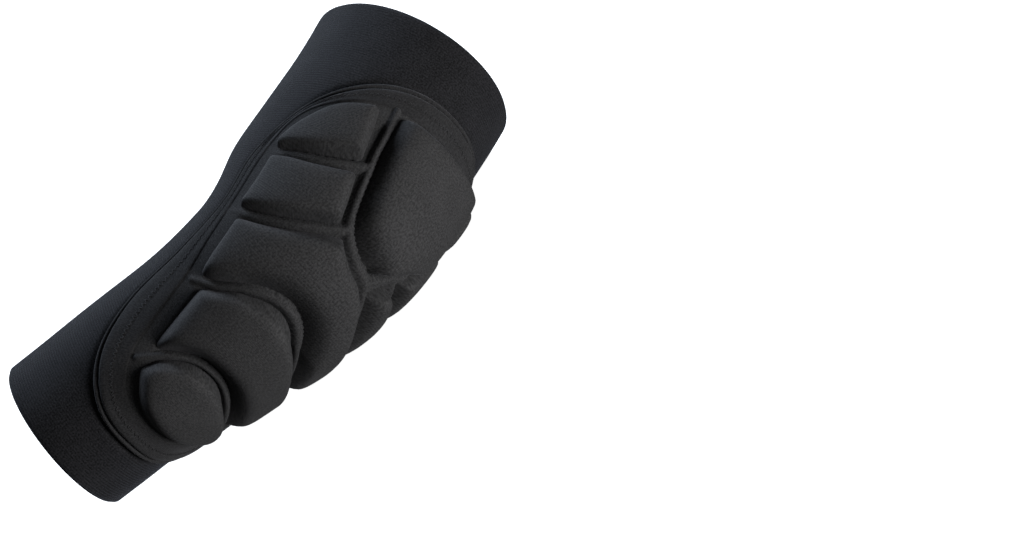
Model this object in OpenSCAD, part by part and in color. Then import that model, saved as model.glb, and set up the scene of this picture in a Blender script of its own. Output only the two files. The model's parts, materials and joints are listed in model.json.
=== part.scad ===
// Pull-on padded elbow sleeve: a pre-bent stretch sleeve with a moulded block pad on its outer side.
// The sleeve lies on its side: +X is the upper-arm end, -Y the outer (padded) side, +Z across the bend.
// A place on the sleeve is [s, a]: s is the distance along the sleeve's centre line from the elbow,
// and a is the angle round it, 0 at the middle of the outer side and positive towards +Z.

/* [Sleeve] */
// Bend of the sleeve when nothing pulls it, in degrees
rest_flexion = 39; // [36:1:44]
// Radius of the centre line round the elbow
bend_radius = 80; // [76:1:95]
// Centre-line length from the elbow to the upper-arm opening
upper_length = 106; // [102:1:115]
// Centre-line length from the elbow to the forearm opening
forearm_length = 146; // [142:1:160]
// Outer radius at the upper-arm opening
upper_rim_r = 53; // [50:0.5:54]
// Outer radius where the upper-arm tube meets the elbow section
upper_r = 51.5; // [49:0.5:53]
// Outer radius at the elbow
elbow_r = 45; // [43:0.5:46]
// Outer radius where the forearm tube meets the elbow section
forearm_r = 41.5; // [40.5:0.5:43]
// Outer radius at the forearm opening
forearm_rim_r = 41; // [39:0.5:42]
// Thickness of the knitted sleeve
sleeve_t = 2.2; // [1.8:0.1:2.6]
// Half length of the elbow section, which stretches and folds as the arm bends
elbow_half = 60; // [58:1:64]

/* [Hems] */
// Width of the turned hem at each opening
hem_w = 18; // [14:1:22]
// Thickness of the hem, two layers of knit
hem_t = 3.6; // [3.2:0.1:4]

/* [Pad] */
// Thickness of the pad's backing sheet
backing_t = 1; // [0.8:0.1:1.2]
// Thickness of the flat border band round the blocks
border_t = 1; // [0.8:0.1:1.2]
// Width of the piped edge outside the border band
piping_w = 2.2; // [1.8:0.1:2.6]
// Height of the piped edge above the backing
piping_h = 1.8; // [1.4:0.1:2.2]
// Height of the tallest foam blocks
block_h = 13; // [10:0.5:15]
// Share of that height lost at the sides of the arm, where the blocks get thinner
side_taper = 0.7; // [0.4:0.05:0.8]
// Height of the foam at the foot of a block's sloping walls
block_foot_h = 1; // [0.8:0.1:1.5]
// Half width of the channels between neighbouring blocks
channel_half = 2; // [1.5:0.1:2.5]
// Thickness of the face fabric over the blocks
face_t = 0.9; // [0.7:0.1:1.1]

/* [Stitching] */
// Length of one stitch
stitch_l = 3.4; // [2.5:0.1:4]
// Width of one stitch
stitch_w = 0.8; // [0.6:0.1:1]
// Number of stitches on the elbow stretch of each side
elbow_stitches = 9; // [6:1:10]
// Number of stitches round the forearm end
forearm_stitches = 30; // [20:1:32]
// Number of stitches round the upper-arm end
upper_stitches = 28; // [18:1:30]

/* [Hidden] */
BLOCKS = ["toe", "lower_crescent", "elbow", "near_side", "near_corner", "crown", "far_wedge",
    "far_side", "far_corner"];

knit_colour = [0.16, 0.16, 0.18];
face_colour = [0.27, 0.27, 0.29];
foam_colour = [0.2, 0.2, 0.21];
edge_colour = [0.1, 0.1, 0.11];
thread_colour = [0.33, 0.33, 0.35];

// Clear gap between soft layers that lie on each other
layer_gap = 0.4;
// Clear gap between layers that are bonded together
bond_gap = 0.2;
// The foam blocks keep a little more, since their flat facets cut across the curve
foam_gap = 0.75;
backing_z = layer_gap;
band_z = backing_z + backing_t + bond_gap;
foam_z = backing_z + backing_t + foam_gap;
round_fn = 96;

// Centre line: an arc round the elbow with a straight run at each end
function bend_angle(s) =
    max(-rest_flexion / 2, min(rest_flexion / 2, s / bend_radius * 180 / PI));
function centre(s) =
    let(b = bend_angle(s), rest = s - b * PI / 180 * bend_radius)
    [bend_radius * sin(b) + rest * cos(b), bend_radius * (1 - cos(b)) + rest * sin(b), 0];
function outward(s) = [sin(bend_angle(s)), -cos(bend_angle(s)), 0];

function sleeve_r(s) = lookup(s, [
    [-forearm_length, forearm_rim_r],
    [-elbow_half, forearm_r],
    [0, elbow_r],
    [elbow_half, upper_r],
    [upper_length, upper_rim_r]]);

// Point at place [s, a], h above the sleeve's outer face, before the origin is set
function raw_point(s, a, h) =
    let(r = sleeve_r(s) + h)
    centre(s) + r * cos(a) * outward(s) + [0, 0, r * sin(a)];

// Catmull-Rom curve through a list of [s, a] places, u counting the places from 0
function blend4(p, q, r, t, u) =
    0.5 * (2 * q + (r - p) * u + (2 * p - 5 * q + 4 * r - t) * u * u
        + (3 * q - p - 3 * r + t) * u * u * u);
function along(places, u) =
    let(last = len(places) - 1, k = max(0, min(last - 1, floor(u))))
    let(before = k > 0 ? places[k - 1] : 2 * places[0] - places[1])
    let(after = k + 2 <= last ? places[k + 2] : 2 * places[last] - places[last - 1])
    blend4(before, places[k], places[k + 1], after, u - k);
function around(ring, u) =
    let(n = len(ring), k = floor(u))
    blend4(ring[(k - 1 + n) % n], ring[(k + n) % n], ring[(k + 1 + n) % n],
        ring[(k + 2 + n) % n], u - k);

// The same curve moved d millimetres sideways, to the left of its direction as seen from outside
// the sleeve with the upper arm on the right
function moved(places, u, d) =
    let(p = along(places, u), q = along(places, u + 0.05), o = along(places, u - 0.05))
    let(mm = sleeve_r(p[0]) * PI / 180, ds = q[0] - o[0], da = (q[1] - o[1]) * mm)
    let(n = sqrt(ds * ds + da * da))
    [p[0] - d * da / n, p[1] + d * ds / n / mm];

// Outer and inner edge of the border band on the near side, from the forearm end to the upper end
OUTER_SIDE = [[-116, 0], [-113, 31], [-98, 58], [-72, 75], [-42, 80], [-14, 86],
    [12, 91], [38, 77], [58, 53], [69, 28], [72, 0]];
INNER_SIDE = [[-104, 0], [-101, 25], [-88, 43], [-66, 53], [-42, 62], [-14, 77],
    [12, 83], [35, 75], [50, 53], [57, 30], [58, 0]];
function both_sides(side) =
    let(last = len(side) - 1)
    concat(side, [for (i = [last - 1:-1:1]) [side[i][0], -side[i][1]]]);
OUTER_RING = both_sides(OUTER_SIDE);
INNER_RING = both_sides(INNER_SIDE);
// Places on the rings where the pieces that cross the elbow begin and end, on the near side and,
// counted on past the upper end, on the far side
forearm_split = 4;
upper_split = 6;
split_gap = 0.01;
ring_top = 10;
far_upper_split = 2 * ring_top - upper_split;
far_forearm_split = 2 * ring_top - forearm_split;
// The backing begins and ends this far in from the tips of the ring
ring_end = 0.15;
end_steps = 16;
elbow_steps = 8;
band_steps = 24;
piping_steps = 32;

// Middle lines of the channels between the blocks
CH_TOE = [[-86, 40], [-74, 29.5], [-65.5, 16.5], [-63.5, 1], [-67, -13.5], [-75.5, -30],
    [-86, -42]];
CH_CRESCENT = [[-44, 57], [-37, 45], [-27, 33], [-21.5, 17], [-21.5, 1], [-26.5, -15], [-38, -33],
    [-55, -58]];
CH_NEAR_LOW = [[-14, 77], [-11, 68], [-4.5, 48], [6.5, 18]];
CH_NEAR_HIGH = [[15, 82], [18, 67], [20.5, 50], [25.5, 29]];
CH_CROWN_NEAR = [[57, 30], [44, 28.5], [29, 27], [15, 22], [7.5, 15], [3, 2.5], [0.5, -14]];
CH_CROWN_FAR = [[58, -36], [44, -43], [27, -46], [14, -42], [8, -29], [3, -19], [0.5, -14]];
CH_ELBOW_FAR = [[0.5, -14], [-7, -28], [-14, -42], [-24, -58], [-32, -68]];
CH_FAR_LOW = [[8, -29], [5.5, -40], [-1, -56], [-8, -76]];
CH_FAR_HIGH = [[27, -46], [32, -58], [29, -80]];
// Feet of the blocks along the border band
FOOT_TOE = [[-84, 40], [-92, 30], [-99.5, 18], [-102.5, 2], [-101.5, -15], [-95, -31],
    [-86, -42]];
FOOT_NEAR_CORNER = [[21, 79], [34, 68], [46, 55], [54.5, 35]];
FOOT_FAR_CORNER = [[56, -38], [50, -52], [42, -66], [35, -73]];

// The two long sides of each block as rows of places: the low side and the high side
side_steps = 14;
function row(places, from, to, d) =
    [for (i = [0:side_steps]) moved(places, from + (to - from) * i / side_steps, d)];
function last(places) = len(places) - 1;
function chain(rows) = [for (r = rows) each r];
// A row of places set out evenly by count along a list of rows laid end to end
function respaced(long_row) =
    [for (i = [0:side_steps])
        let(u = i / side_steps * last(long_row), k = min(floor(u), last(long_row) - 1))
        long_row[k] + (u - k) * (long_row[k + 1] - long_row[k])];

function low_side(b) =
    b == "toe" ? row(FOOT_TOE, 0.35, 5.65, 0) :
    b == "lower_crescent" ? row(CH_TOE, 0.3, 5.9, channel_half) :
    b == "elbow" ? row(CH_CRESCENT, 0.2, 6.9, channel_half) :
    b == "near_side" ? row(CH_NEAR_LOW, 0.65, 2.93, channel_half) :
    b == "near_corner" ? row(CH_NEAR_HIGH, 0.3, 2.9, channel_half) :
    b == "crown" ? row(CH_CROWN_FAR, 0.1, 5.6, -channel_half) :
    b == "far_wedge" ? row(CH_ELBOW_FAR, 0.45, 3.8, channel_half) :
    b == "far_side" ? row(CH_FAR_LOW, 0.5, 2.8, channel_half) :
    row(CH_FAR_HIGH, 0.15, 1.7, channel_half);
function high_side(b) =
    b == "toe" ? row(CH_TOE, 0.35, 5.65, -channel_half) :
    b == "lower_crescent" ? row(CH_CRESCENT, 0.45, 6.75, -channel_half) :
    b == "elbow" ? respaced(chain([
        row(CH_NEAR_LOW, 0.9, 2.85, -channel_half),
        row(CH_CROWN_NEAR, 4.15, 5.6, -channel_half),
        row(CH_ELBOW_FAR, 0.35, 3.7, -channel_half)])) :
    b == "near_side" ? row(CH_NEAR_HIGH, 0.3, 2.9, -channel_half) :
    b == "near_corner" ? row(FOOT_NEAR_CORNER, 0, 2.9, 0) :
    b == "crown" ? row(CH_CROWN_NEAR, 0.1, 5.6, channel_half) :
    b == "far_wedge" ? row(CH_FAR_LOW, 0.2, 2.7, -channel_half) :
    b == "far_side" ? row(CH_FAR_HIGH, 0.35, 1.7, -channel_half) :
    row(FOOT_FAR_CORNER, 0, 2.9, 0);

// Share of the block height at each step in from the ends and from the long sides
END_RISE = [0, 0.62, 0.93, 1, 1, 1, 1, 1, 1, 1, 1, 1, 0.93, 0.62, 0];
CROSS_PLACES = [0, 0.09, 0.19, 0.3, 0.4, 0.5, 0.6, 0.7, 0.81, 0.91, 1];
CROSS_RISE = [0, 0.62, 0.9, 1, 1, 1, 1, 1, 0.9, 0.62, 0];

// Rows of [s, a, bottom, top] for a block's foam and for the face fabric over it
function foam_top(i, j, a) =
    let(full = block_h * (1 - side_taper * (a / 90) ^ 2))
    foam_z + block_foot_h + (full - block_foot_h) * END_RISE[i] * CROSS_RISE[j];
function foam_grid(b) =
    let(low = low_side(b), high = high_side(b))
    [for (i = [0:side_steps]) [for (j = [0:len(CROSS_PLACES) - 1])
        let(p = low[i] + CROSS_PLACES[j] * (high[i] - low[i]))
        [p[0], p[1], foam_z, foam_top(i, j, p[1])]]];
function cover_grid(b) =
    [for (line = foam_grid(b)) [for (p = line)
        [p[0], p[1], p[3] + bond_gap, p[3] + bond_gap + face_t]]];

// Origin: the middle of the part's bounding box, at its lowest point
cover_points = [for (b = BLOCKS) each [for (line = cover_grid(b)) each [for (p = line)
    raw_point(p[0], p[1], p[3])]]];
function rim_reach(s, r, way) = centre(s) + way * r * outward(s);
forearm_outer = rim_reach(-forearm_length, forearm_rim_r, 1);
forearm_inner = rim_reach(-forearm_length, forearm_rim_r, -1);
upper_outer = rim_reach(upper_length, upper_rim_r, 1);
upper_inner = rim_reach(upper_length, upper_rim_r, -1);
low_corner = [
    min(forearm_outer[0], forearm_inner[0]),
    min([for (p = cover_points) p[1]]),
    min(-upper_rim_r, min([for (p = cover_points) p[2]]))];
high_corner = [
    upper_outer[0],
    max(forearm_inner[1], upper_inner[1]),
    0];
origin = [
    (low_corner[0] + high_corner[0]) / 2,
    (low_corner[1] + high_corner[1]) / 2,
    low_corner[2]];
function on_sleeve(s, a, h) = raw_point(s, a, h) - origin;

// Closed sheet or pad between two faces over the sleeve, from rows of [s, a, bottom, top]
function runs_clockwise(grid) =
    let(p = grid[0][0], q = grid[len(grid) - 1][0], r = grid[0][len(grid[0]) - 1])
    (q[0] - p[0]) * (r[1] - p[1]) < (q[1] - p[1]) * (r[0] - p[0]);
function reversed(list) = [for (i = [len(list) - 1:-1:0]) list[i]];
module patch(rows_given) {
    grid = runs_clockwise(rows_given) ? reversed(rows_given) : rows_given;
    rows = len(grid);
    cols = len(grid[0]);
    n = rows * cols;
    bottom = [for (line = grid) each [for (p = line) on_sleeve(p[0], p[1], p[2])]];
    top = [for (line = grid) each [for (p = line) on_sleeve(p[0], p[1], p[3])]];
    faces_low = [for (i = [0:rows - 2]) each [for (j = [0:cols - 2])
        let(k = i * cols + j) each [[k, k + cols, k + 1], [k + 1, k + cols, k + cols + 1]]]];
    faces_high = [for (f = faces_low) [n + f[0], n + f[2], n + f[1]]];
    rim = concat(
        [for (j = [0:cols - 1]) j],
        [for (i = [1:rows - 1]) i * cols + cols - 1],
        [for (j = [cols - 2:-1:0]) (rows - 1) * cols + j],
        [for (i = [rows - 2:-1:1]) i * cols]);
    wall = [for (i = [0:len(rim) - 1])
        let(p = rim[i], q = rim[(i + 1) % len(rim)]) each [[p, q, n + q], [p, n + q, n + p]]];
    polyhedron(concat(bottom, top), concat(faces_low, faces_high, wall));
}

// Puts a child drawn along +Z onto the centre line at s, pointing towards the upper arm
module at_section(s) {
    translate(centre(s) - origin) rotate([0, 90, bend_angle(s)]) children();
}

// Turned hem: a double layer with a round folded edge, straight bore, opening towards +Z
module hem(outer_inside, outer_rim) {
    bore = outer_rim - hem_t;
    fold = hem_t / 2;
    rotate_extrude($fn = round_fn) {
        polygon([[bore, 0], [outer_inside, 0], [outer_rim, hem_w - fold], [bore, hem_w - fold]]);
        translate([bore + fold, hem_w - fold]) circle(r = fold, $fn = 32);
    }
}

module tube(length, r_start, r_end) {
    difference() {
        cylinder(h = length, r1 = r_start, r2 = r_end, $fn = round_fn);
        translate([0, 0, -length])
            cylinder(h = 3 * length, r1 = 2 * r_start - r_end - sleeve_t,
                r2 = 2 * r_end - r_start - sleeve_t, $fn = round_fn);
    }
}

module upper_sleeve() {
    start = elbow_half;
    end = upper_length - hem_w;
    color(knit_colour) at_section(start) tube(end - start, sleeve_r(start), sleeve_r(end));
}

module forearm_sleeve() {
    start = -forearm_length + hem_w;
    end = -elbow_half;
    color(knit_colour) at_section(start) tube(end - start, sleeve_r(start), sleeve_r(end));
}

module upper_hem() {
    start = upper_length - hem_w;
    color(knit_colour) at_section(start) hem(sleeve_r(start), upper_rim_r);
}

module forearm_hem() {
    start = -forearm_length + hem_w;
    color(knit_colour) at_section(start) mirror([0, 0, 1]) hem(sleeve_r(start), forearm_rim_r);
}

// The elbow stretch ends just short of the two tubes
elbow_rings = 14;
elbow_spokes = 42;
tube_gap = 0.1;
function elbow_ring(h) =
    [for (i = [0:elbow_rings]) each [for (k = [0:elbow_spokes - 1])
        on_sleeve((elbow_half - tube_gap) * (2 * i / elbow_rings - 1), 360 * k / elbow_spokes, h)]];
module elbow_sleeve() {
    n = (elbow_rings + 1) * elbow_spokes;
    outside = elbow_ring(0);
    inside = elbow_ring(-sleeve_t);
    skin = [for (i = [0:elbow_rings - 1]) each [for (k = [0:elbow_spokes - 1])
        let(p = i * elbow_spokes + k, q = i * elbow_spokes + (k + 1) % elbow_spokes)
        each [[p, q, p + elbow_spokes], [q, q + elbow_spokes, p + elbow_spokes]]]];
    lining = [for (f = skin) [n + f[0], n + f[2], n + f[1]]];
    end_low = [for (k = [0:elbow_spokes - 1])
        let(p = k, q = (k + 1) % elbow_spokes) each [[p, n + q, q], [p, n + p, n + q]]];
    top = elbow_rings * elbow_spokes;
    end_high = [for (k = [0:elbow_spokes - 1])
        let(p = top + k, q = top + (k + 1) % elbow_spokes) each [[p, q, n + q], [p, n + q, n + p]]];
    color(knit_colour) polyhedron(concat(outside, inside), concat(skin, lining, end_low, end_high));
}

// Backing sheet between two places on the rings, across the whole width of the pad
backing_columns = 24;
module backing(from, to, steps) {
    color(edge_colour) patch([for (i = [0:steps])
        let(p = around(OUTER_RING, from + (to - from) * i / steps))
        [for (j = [0:backing_columns])
            [p[0], p[1] * (1 - 2 * j / backing_columns), backing_z, backing_z + backing_t]]]);
}

// Strip along the rings: t is 0 at the band's inner edge and 1 at its outer edge
function across_band(u, t) =
    let(p = around(INNER_RING, u), q = around(OUTER_RING, u)) p + t * (q - p);
// Place just outside the rings, d millimetres beyond the outer edge
function beyond(u, d) =
    let(p = around(OUTER_RING, u))
    let(q = around(OUTER_RING, u + 0.05), o = around(OUTER_RING, u - 0.05))
    let(mm = sleeve_r(p[0]) * PI / 180, ds = q[0] - o[0], da = (q[1] - o[1]) * mm)
    let(n = sqrt(ds * ds + da * da))
    [p[0] - d * da / n, p[1] + d * ds / n / mm];

band_inset = 0.06;
module band(from, to, steps) {
    color(face_colour * 0.6) patch([for (i = [0:steps])
        [for (t = [band_inset, 0.35, 0.67, 1])
            concat(across_band(from + (to - from) * i / steps, t), [band_z, band_z + border_t])]]);
}

module piping(from, to, steps) {
    color(edge_colour) patch([for (i = [0:steps])
        [for (t = [[0.15, 0.5], [0.35, 1], [0.7, 1], [1, 0.5]])
            concat(beyond(from + (to - from) * i / steps, t[0] * piping_w),
                [backing_z, backing_z + backing_t + t[1] * piping_h])]]);
}

// Row of separate stitches along the border band
stitch_t = 0.5;
stitch_place = 0.74;
module stitches(from, to, count) {
    for (i = [0:count - 1]) {
        u = from + (to - from) * (i + 0.5) / count;
        p = across_band(u, stitch_place);
        q = across_band(u + 0.05, stitch_place) - across_band(u - 0.05, stitch_place);
        mm = sleeve_r(p[0]) * PI / 180;
        n = sqrt(q[0] * q[0] + q[1] * q[1] * mm * mm);
        run = [q[0] / n, q[1] / n] * stitch_l / 2;
        side = [-q[1] * mm / n, q[0] / n / mm] * stitch_w / 2;
        z = [band_z + border_t + bond_gap, band_z + border_t + bond_gap + stitch_t];
        color(thread_colour) patch([
            [concat(p - run + side, z), concat(p - run - side, z)],
            [concat(p + run + side, z), concat(p + run - side, z)]]);
    }
}

module foam(b) {
    color(foam_colour) patch(foam_grid(b));
}

module cover(b) {
    color(face_colour) patch(cover_grid(b));
}

module border_elbow() {
    band(forearm_split + split_gap, upper_split - split_gap, elbow_steps);
    band(far_upper_split + split_gap, far_forearm_split - split_gap, elbow_steps);
}

module piping_elbow() {
    piping(forearm_split + split_gap, upper_split - split_gap, elbow_steps);
    piping(far_upper_split + split_gap, far_forearm_split - split_gap, elbow_steps);
}

module stitches_elbow() {
    stitches(forearm_split, upper_split, elbow_stitches);
    stitches(far_upper_split, far_forearm_split, elbow_stitches);
}

module backing_upper() {
    backing(upper_split, ring_top - ring_end, end_steps);
}

module backing_elbow() {
    backing(forearm_split + split_gap, upper_split - split_gap, elbow_steps);
}

module backing_forearm() {
    backing(ring_end, forearm_split, end_steps);
}

module border_upper() {
    band(upper_split, far_upper_split, band_steps);
}

module border_forearm() {
    band(-forearm_split, forearm_split, band_steps);
}

module piping_upper() {
    piping(upper_split, far_upper_split, piping_steps);
}

module piping_forearm() {
    piping(-forearm_split, forearm_split, piping_steps);
}

module stitches_upper() {
    stitches(upper_split, far_upper_split, upper_stitches);
}

module stitches_forearm() {
    stitches(-forearm_split, forearm_split, forearm_stitches);
}

upper_sleeve();
elbow_sleeve();
forearm_sleeve();
upper_hem();
forearm_hem();
backing_upper();
backing_elbow();
backing_forearm();
border_upper();
border_elbow();
border_forearm();
piping_upper();
piping_elbow();
piping_forearm();
stitches_upper();
stitches_elbow();
stitches_forearm();
for (b = BLOCKS) {
    foam(b);
    cover(b);
}
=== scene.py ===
"""Looks of the padded elbow sleeve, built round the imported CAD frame.

A place on the sleeve is (s, a): s is millimetres along its centre line from the elbow, towards the
upper arm when positive, and a is degrees round it, 0 in the middle of the outer side and positive
towards +Z. Heights are millimetres above the sleeve's outer face. Every piece but the stitches is a
grid of such places.
"""
import json
import math

import bmesh
import bpy
import numpy as np
from mathutils import Matrix, Vector


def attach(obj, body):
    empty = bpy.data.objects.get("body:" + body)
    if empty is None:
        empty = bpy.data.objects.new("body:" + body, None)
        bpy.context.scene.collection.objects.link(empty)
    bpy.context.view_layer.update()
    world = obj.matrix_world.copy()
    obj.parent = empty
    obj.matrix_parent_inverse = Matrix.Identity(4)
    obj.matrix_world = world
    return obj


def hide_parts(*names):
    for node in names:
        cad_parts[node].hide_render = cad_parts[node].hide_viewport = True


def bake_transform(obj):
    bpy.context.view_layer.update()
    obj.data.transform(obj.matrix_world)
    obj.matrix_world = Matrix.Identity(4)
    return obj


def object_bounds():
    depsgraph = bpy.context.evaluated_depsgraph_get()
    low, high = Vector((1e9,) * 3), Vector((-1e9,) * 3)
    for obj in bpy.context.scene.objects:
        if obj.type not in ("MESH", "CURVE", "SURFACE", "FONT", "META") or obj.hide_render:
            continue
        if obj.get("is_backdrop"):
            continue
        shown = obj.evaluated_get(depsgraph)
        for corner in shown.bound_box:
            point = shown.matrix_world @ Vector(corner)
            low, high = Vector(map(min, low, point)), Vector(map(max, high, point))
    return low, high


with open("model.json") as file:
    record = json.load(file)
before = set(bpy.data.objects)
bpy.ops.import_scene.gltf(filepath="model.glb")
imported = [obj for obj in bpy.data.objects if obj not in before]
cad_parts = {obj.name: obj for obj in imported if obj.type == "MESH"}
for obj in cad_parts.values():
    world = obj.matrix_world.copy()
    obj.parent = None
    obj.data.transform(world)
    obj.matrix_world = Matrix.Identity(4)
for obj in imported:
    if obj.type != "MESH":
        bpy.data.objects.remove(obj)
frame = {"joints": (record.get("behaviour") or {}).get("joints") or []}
cad_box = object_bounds()
scene = bpy.context.scene
MM = 0.001

# ---------------------------------------------------------------- sleeve (mm, degrees)
HALF_BEND = math.radians(39 / 2)
BEND_RADIUS = 80.0
# Centre line from the elbow to each rim, 1.5 and 2.5 mm longer than in the CAD
UPPER_LENGTH = 107.5
FOREARM_LENGTH = 148.5
# Outer radius at places along the centre line
ELBOW_HALF = 60.0
RADIUS_AT = ([-FOREARM_LENGTH, -ELBOW_HALF, 0.0, ELBOW_HALF, UPPER_LENGTH],
             [41.0, 41.5, 45.0, 51.5, 53.0])
SLEEVE_T = 2.2
# The joint's place, measured from the centre line's point at the elbow
PIVOT = np.array([0.0, -20.0, 0.0])
joint = frame["joints"][0]
ORIGIN = PIVOT - np.array(joint["pos_m"]) / MM

# ---------------------------------------------------------------- pad layout (s, a)
# Outer and inner edge of the border band on the near side
OUTER_SIDE = [(-116, 0), (-113, 31), (-98, 58), (-72, 75), (-42, 80), (-14, 86),
              (12, 91), (38, 77), (58, 53), (69, 28), (72, 0)]
INNER_SIDE = [(-104, 0), (-101, 25), (-88, 43), (-66, 53), (-42, 62), (-14, 77),
              (12, 83), (35, 75), (50, 53), (57, 30), (58, 0)]
# Middle lines of the channels between the blocks
CH_TOE = [(-86, 40), (-74, 29.5), (-65.5, 16.5), (-63.5, 1), (-67, -13.5), (-75.5, -30), (-86, -42)]
CH_CRESCENT = [(-44, 57), (-37, 45), (-27, 33), (-21.5, 17), (-21.5, 1), (-26.5, -15), (-38, -33),
               (-55, -58)]
CH_NEAR_LOW = [(-14, 77), (-11, 68), (-4.5, 48), (6.5, 18)]
CH_NEAR_HIGH = [(15, 82), (18, 67), (20.5, 50), (25.5, 29)]
CH_CROWN_NEAR = [(57, 30), (44, 28.5), (29, 27), (15, 22), (7.5, 15), (3, 2.5), (0.5, -14)]
CH_CROWN_FAR = [(58, -36), (44, -43), (27, -46), (14, -42), (8, -29), (3, -19), (0.5, -14)]
CH_ELBOW_FAR = [(0.5, -14), (-7, -28), (-14, -42), (-24, -58), (-32, -68)]
CH_FAR_LOW = [(8, -29), (5.5, -40), (-1, -56), (-8, -76)]
CH_FAR_HIGH = [(27, -46), (32, -58), (29, -80)]
# Feet of the blocks along the border band
FOOT_TOE = [(-84, 40), (-92, 30), (-99.5, 18), (-102.5, 2), (-101.5, -15), (-95, -31), (-86, -42)]
FOOT_NEAR_CORNER = [(21, 79), (34, 68), (46, 55), (54.5, 35)]
FOOT_FAR_CORNER = [(56, -38), (50, -52), (42, -66), (35, -73)]
# Half width of the channels, and full height of a block over the sheet
CHANNEL_HALF = 1.9
BLOCK_H = 12.6
# Share of the blocks' height lost a quarter of the way round, and that quarter in mm
SIDE_TAPER = 0.7
QUARTER_ROUND = 71

# Underside and top of the sheet under the blocks, and foot of the blocks' faces, over the sleeve
BACKING = 0.4
FLOOR = 1.8
FOOT = 1.2
# Thickness of the faces
FACE_T = 0.7
# Rib along the middle of each channel
RIB_H = 3.8
RIB_HALF = 1.95
# How far the sheet rises beside the border band, how far in from the band it does, and over which
# part of that way it falls again
MARGIN_H = 1.7
MARGIN_W = 12.0
MARGIN_FALL = 6.0


# ---------------------------------------------------------------- sleeve surface
def bend(s):
    return np.clip(s / BEND_RADIUS, -HALF_BEND, HALF_BEND)


def centre(s):
    b = bend(s)
    rest = s - b * BEND_RADIUS
    x = BEND_RADIUS * np.sin(b) + rest * np.cos(b)
    y = BEND_RADIUS * (1 - np.cos(b)) + rest * np.sin(b)
    return np.stack([x, y, np.zeros_like(x)], -1)


def outward(s):
    b = bend(s)
    return np.stack([np.sin(b), -np.cos(b), np.zeros_like(b)], -1)


def smooth(t):
    t = np.clip(t, 0, 1)
    return t * t * (3 - 2 * t)


# The radius every millimetre, past both rims, averaged over EASE_HALF millimetres each way
PAST_RIM = 30
EASE_HALF = 10
EASE_ALL = 2 * EASE_HALF + 1
ease_s = np.arange(-FOREARM_LENGTH - PAST_RIM, UPPER_LENGTH + PAST_RIM)
ease_r = np.interp(ease_s, *RADIUS_AT)
ease_r = np.convolve(np.pad(ease_r, EASE_HALF, mode="edge"), np.ones(EASE_ALL) / EASE_ALL, mode="valid")


def plain_radius(s):
    """Radius of the round sleeve, with the corners between its stretches eased."""
    return np.interp(s, ease_s, ease_r)


# Greatest lift of the knit inside the elbow, its middle and reach along s, and its start and rise in a
CROOK = 7.5
CROOK_S = (15.0, 36.0)
CROOK_A = (72, 62)


def crook(s, a):
    """How far the knit cuts the corner inside the elbow, instead of following the bend."""
    lengthways = np.exp(-((s - CROOK_S[0]) / CROOK_S[1]) ** 2)
    return CROOK * lengthways * smooth((np.abs(a) - CROOK_A[0]) / CROOK_A[1])


def place(s, a, h):
    """Points of the row frame, in metres, h millimetres over the sleeve at places (s, a)."""
    s, a, h = np.broadcast_arrays(np.asarray(s, float), np.asarray(a, float), np.asarray(h, float))
    turned = (a + 180) % 360 - 180
    r = plain_radius(s) + crook(s, turned) + h
    angle = np.radians(a)
    side = np.stack([np.zeros_like(r), np.zeros_like(r), r * np.sin(angle)], -1)
    return (centre(s) + (r * np.cos(angle))[..., None] * outward(s) + side - ORIGIN) * MM


def flat(s, a):
    """The same places laid flat, in millimetres: along the sleeve and round it."""
    return np.stack([s, np.radians(a) * plain_radius(s)], -1)


# ---------------------------------------------------------------- curves of places
def catmull(p, q, r, t, u):
    """Point at u between q and r, on the Catmull-Rom curve through p, q, r and t."""
    return 0.5 * (2 * q + (r - p) * u + (2 * p - 5 * q + 4 * r - t) * u * u
                  + (3 * q - p - 3 * r + t) * u ** 3)


def along(places, u):
    """Open curve through places, u counting them from 0."""
    p = np.array(places, float)
    p = np.vstack([2 * p[0] - p[1], p, 2 * p[-1] - p[-2]])
    u = np.asarray(u, float)
    k = np.clip(np.floor(u).astype(int), 0, len(places) - 2)
    return catmull(p[k], p[k + 1], p[k + 2], p[k + 3], (u - k)[..., None])


def both_sides(side):
    return side + [(s, -a) for s, a in side[-2:0:-1]]


def around(ring, u):
    """Closed curve through a ring of places, u counting them from 0."""
    p = np.array(ring, float)
    n = len(p)
    u = np.asarray(u, float)
    k = np.floor(u).astype(int)
    return catmull(p[(k - 1) % n], p[k % n], p[(k + 1) % n], p[(k + 2) % n], (u - k)[..., None])


OUTER_RING = both_sides(OUTER_SIDE)
INNER_RING = both_sides(INNER_SIDE)
RING_ALL = len(OUTER_RING)
RING_TOP = RING_ALL // 2
RING_POINTS = 161


def moved(places, us, d):
    """The curve shifted d millimetres to the left of its direction, seen from outside the sleeve."""
    p = along(places, us)
    step = flat(*along(places, us + 0.05).T) - flat(*along(places, us - 0.05).T)
    step /= np.linalg.norm(step, axis=-1, keepdims=True)
    mm = np.radians(plain_radius(p[:, 0]))
    return np.stack([p[:, 0] - d * step[:, 1], p[:, 1] + d * step[:, 0] / mm], -1)


ROW_POINTS = 40


def row(places, start, end, d):
    return moved(places, np.linspace(start, end, ROW_POINTS), d)


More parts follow.
